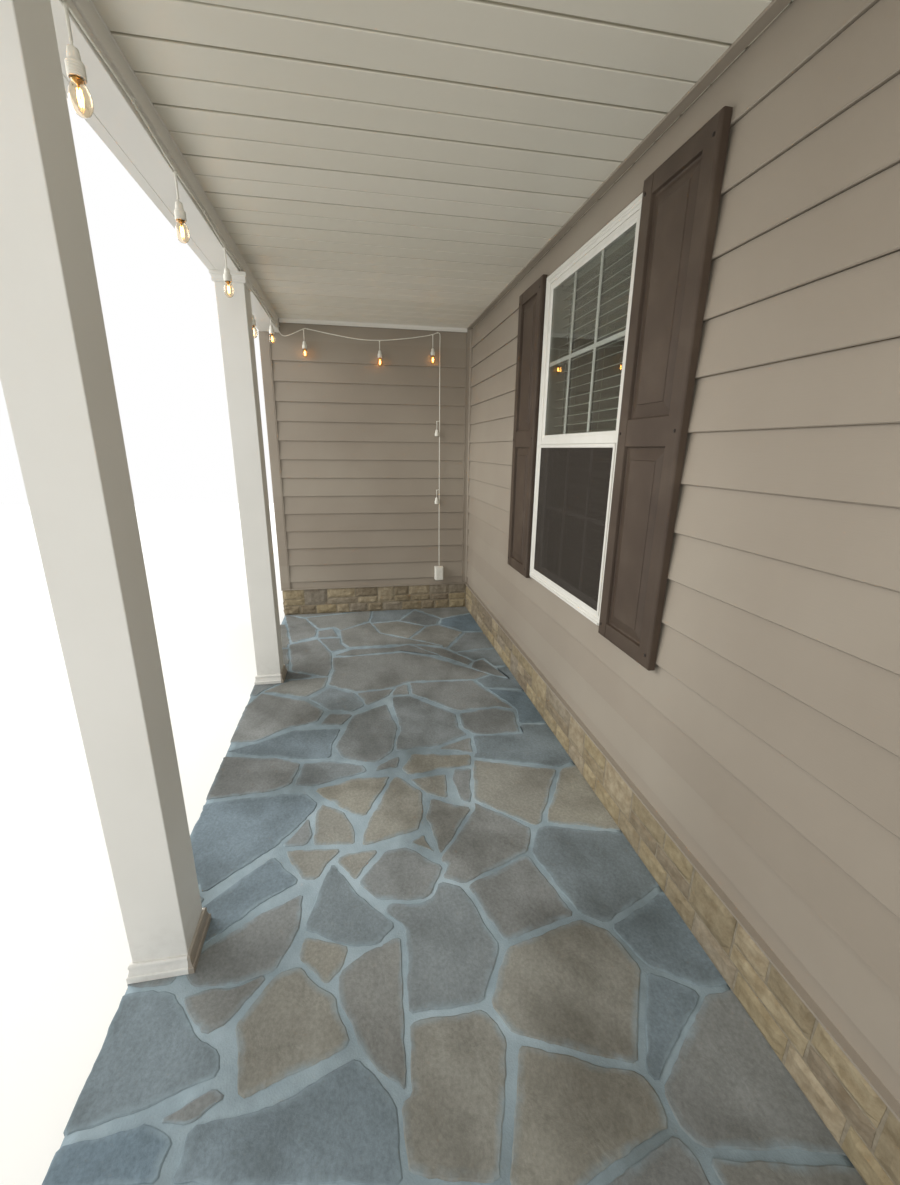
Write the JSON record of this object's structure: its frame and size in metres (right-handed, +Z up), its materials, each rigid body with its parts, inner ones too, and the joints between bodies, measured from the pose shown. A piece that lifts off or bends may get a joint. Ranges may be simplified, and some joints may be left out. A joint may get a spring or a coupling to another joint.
{
  "type": "front porch",
  "caption": "Front porch with flagstone floor, square white posts, panelled ceiling under a lean-to roof, lapped house wall with shuttered window, end wall and hung lamps.",
  "frame": {"origin": "middle of the whole part's box, on the ground", "axes": "+Z up; the open front with its posts faces -Y; the house wall is at +Y; the end wall is at the -X end and the open end at +X"},
  "size_m": [5.556, 1.955, 3.6576],
  "materials": {
    "concrete": "broom-finished concrete",
    "flagstone": "honed by wear, matt",
    "wall_framing": "raw softwood and sheathing",
    "plaster_board": "plain matt wall board",
    "siding": "moulded lap siding, low sheen",
    "siding_trim": "extruded trim, low sheen",
    "ledge_stone": "split face, matt",
    "white_trim": "satin white",
    "white_post": "satin white cellular sleeve",
    "window_vinyl": "white extruded frame, light gloss",
    "window_glass": "clear double glazing",
    "screen_mesh": "dark woven mesh",
    "blind_slats": "dull cream slats with pale edges",
    "shutter_brown": "dark brown moulded, low sheen",
    "ceiling_vinyl": "cream white panels, satin",
    "roof_sheathing": "plain sheathing board",
    "asphalt_shingle": "mineral granules, matt",
    "flashing_metal": "painted sheet, satin",
    "cord_white": "white moulded",
    "lamp_glass": "clear glass with warm filament",
    "hook_metal": "white coated wire",
    "outlet_plastic": "weatherproof cover"
  },
  "bodies": {
    "root": {"porch_slab": "concrete", "flagstone_floor": "flagstone", "house_wall": "wall_framing", "end_wall": "wall_framing", "room_boards": "plaster_board", "house_siding": "siding", "end_siding": "siding", "upper_siding": "siding", "house_stone_base": "ledge_stone", "end_stone_base": "ledge_stone", "corner_board": "siding_trim", "inside_corner_post": "siding_trim", "window_frame": "window_vinyl", "upper_sash": "window_vinyl", "lower_sash": "window_vinyl", "window_glass": "window_glass", "insect_screen": "screen_mesh", "window_blind": "blind_slats", "window_channel": "siding_trim", "far_shutter": "shutter_brown", "near_shutter": "shutter_brown", "inner_post": "white_post", "middle_post": "white_post", "corner_post": "white_post", "wall_post": "white_post", "post_bases": "white_post", "post_caps": "white_post", "front_beam": "white_trim", "side_beam": "white_trim", "porch_ceiling": "ceiling_vinyl", "ceiling_trim": "siding_trim", "beam_trim": "white_trim", "roof_frame": "wall_framing", "roof_deck": "roof_sheathing", "roof_shingles": "asphalt_shingle", "eave_soffit": "ceiling_vinyl", "fascia": "white_trim", "rake_board": "white_trim", "gable_siding": "siding", "wall_flashing": "flashing_metal", "light_cord": "cord_white", "light_sockets": "cord_white", "light_bulbs": "lamp_glass", "cord_hooks": "hook_metal", "outlet_box": "outlet_plastic"}
  },
  "joints": []
}
